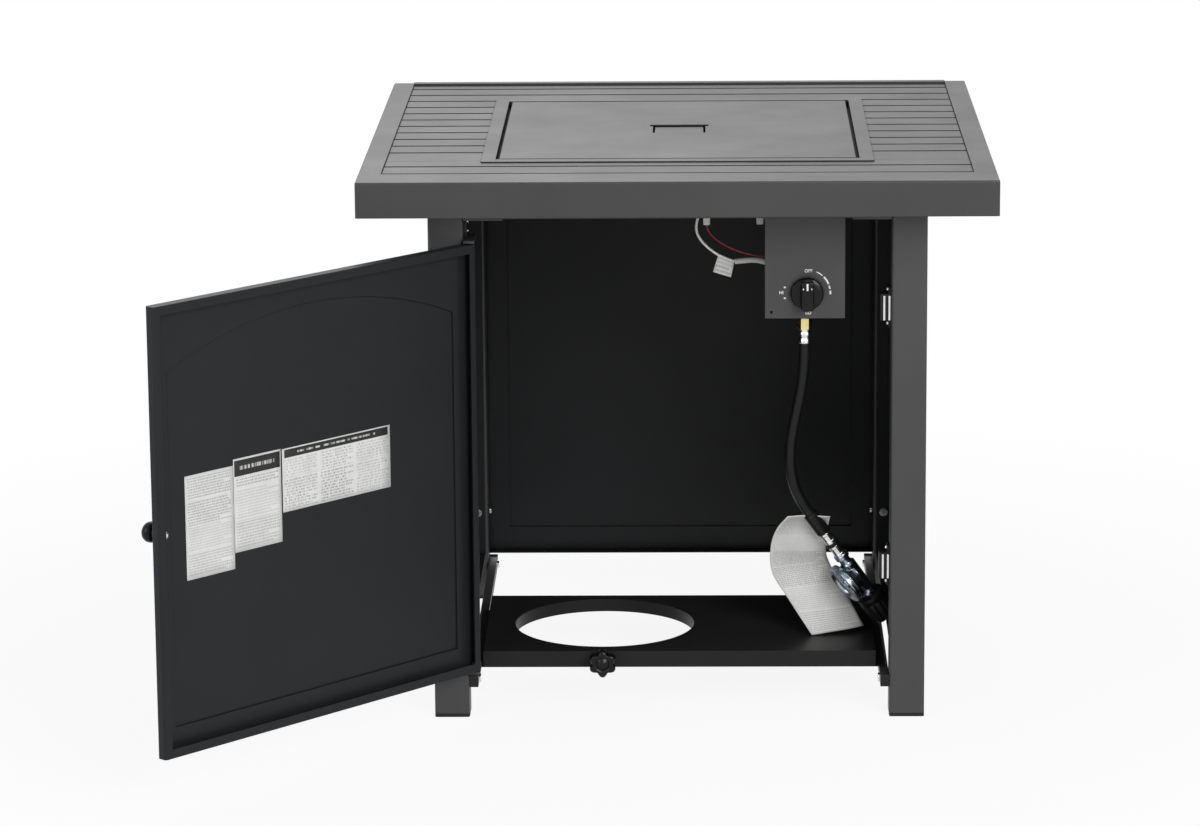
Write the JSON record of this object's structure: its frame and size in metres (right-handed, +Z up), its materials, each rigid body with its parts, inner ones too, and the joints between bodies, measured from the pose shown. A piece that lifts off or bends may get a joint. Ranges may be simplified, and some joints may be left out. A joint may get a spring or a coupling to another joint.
{
  "type": "gas fire pit table",
  "caption": "Square slatted metal gas fire pit table with a lift-out burner lid, hinged cabinet door, sliding tank tray, gas valve, hose and regulator.",
  "frame": {"origin": "on the floor under the middle of the whole object with its door open 132.9 degrees", "axes": "+X to the right and +Y to the back seen from the front with the door and knob, +Z up"},
  "size_m": [0.9282, 0.9854, 0.6362],
  "materials": {
    "coat_top": "fine-textured charcoal powder coat",
    "coat_frame": "fine-textured charcoal powder coat",
    "coat_panel": "dark charcoal powder coat",
    "coat_tray": "dark powder coat",
    "burner_steel": "brushed stainless sheet",
    "zinc": "bright zinc plating",
    "brass": "machined brass",
    "black_gloss": "glossy black phenolic",
    "black_matte": "matte black plastic",
    "white_plastic": "white plastic",
    "ceramic": "glazed white ceramic",
    "hose_rubber": "smooth black rubber",
    "cast_zinc": "blue-grey cast metal",
    "red_wire": "red wire cover",
    "braid": "woven sleeve",
    "paper": "white paper"
  },
  "bodies": {
    "table": {"top_frame": "coat_top", "slats_long": "coat_top", "slats_left": "coat_top", "slats_right": "coat_top", "slat_bearers": "coat_frame", "burner_pan": "coat_top", "burner_ring": "burner_steel", "burner_inlet": "brass", "feed_tube": "burner_steel", "igniter": "ceramic", "flame_sensor": "ceramic", "leg_front_left": "coat_frame", "leg_front_right": "coat_frame", "leg_rear_left": "coat_frame", "leg_rear_right": "coat_frame", "leg_glides": "black_matte", "rail_front": "coat_frame", "rail_back": "coat_frame", "rail_left": "coat_frame", "rail_right": "coat_frame", "panel_back": "coat_panel", "panel_left": "coat_panel", "panel_right": "coat_panel", "frame_bolts": "zinc", "small_screws": "zinc", "hinge_bracket_top": "coat_frame", "hinge_bracket_bottom": "coat_frame", "catch_upper": "black_matte", "catch_lower": "black_matte", "catch_poles": "zinc", "tray_rail_left": "coat_frame", "tray_rail_right": "coat_frame", "rail_plugs": "black_matte", "control_plate": "coat_frame", "valve_body": "cast_zinc", "inlet_fitting": "brass", "hose_ferrule": "zinc", "gas_hose": "hose_rubber", "hose_sleeve": "hose_rubber", "hose_crimps": "zinc", "regulator": "cast_zinc", "regulator_cap": "cast_zinc", "igniter_lead": "white_plastic", "sensor_lead": "red_wire", "lead_braid": "braid", "lead_connectors": "white_plastic", "hose_tag": "paper"},
    "door": {"door_panel": "coat_panel", "door_knob": "black_gloss", "door_knob_screw": "zinc", "door_labels": "paper"},
    "lid": {"lid": "coat_top"},
    "tray": {"tank_tray": "coat_tray"},
    "screw_pad": {"tank_screw_pad": "zinc"},
    "tank_screw": {"tank_screw_bolt": "zinc", "tank_screw_knob": "black_gloss"},
    "push_collar": {"push_collar": "zinc"},
    "control_knob": {"control_knob": "black_gloss", "valve_stem": "zinc"},
    "gas_nut": {"gas_nut": "black_matte"}
  },
  "joints": [
    {"name": "door_hinge", "type": "hinge", "parent": "table", "child": "door", "pos_m": [-0.12544, -0.14277, 0.3], "axis": [0, 0, 1], "range_deg": [-5, 132.9]},
    {"name": "lid_lift", "type": "slide", "parent": "table", "child": "lid", "axis": [0, 0, 1], "range_m": [0, 0.15]},
    {"name": "tray_slide", "type": "slide", "parent": "table", "child": "tray", "axis": [0, 1, 0], "range_m": [-0.037, 0.23]},
    {"name": "tank_screw_travel", "type": "slide", "parent": "tray", "child": "screw_pad", "axis": [0, 1, 0], "range_m": [0, 0.01]},
    {"name": "tank_screw_turn", "type": "hinge", "parent": "screw_pad", "child": "tank_screw", "pos_m": [0.02056, -0.11277, 0.057], "axis": [0, 1, 0], "range_deg": [0, 2880]},
    {"name": "valve_push", "type": "slide", "parent": "table", "child": "push_collar", "axis": [0, 1, 0], "range_m": [0, 0.003], "stiffness_N_per_m": 900, "springref_m": -0.002},
    {"name": "valve_turn", "type": "hinge", "parent": "push_collar", "child": "control_knob", "pos_m": [0.25456, -0.11277, 0.4866], "axis": [0, -1, 0], "range_deg": [0, 180]},
    {"name": "gas_nut_turn", "type": "hinge", "parent": "table", "child": "gas_nut", "pos_m": [0.33692, -0.03195, 0.10551], "axis": [0.5487, 0.2158, -0.8077], "continuous": true}
  ],
  "couplings": [
    {"joint": "tank_screw_turn", "follows": "tank_screw_travel", "rad_per_m": 5026.5}
  ]
}
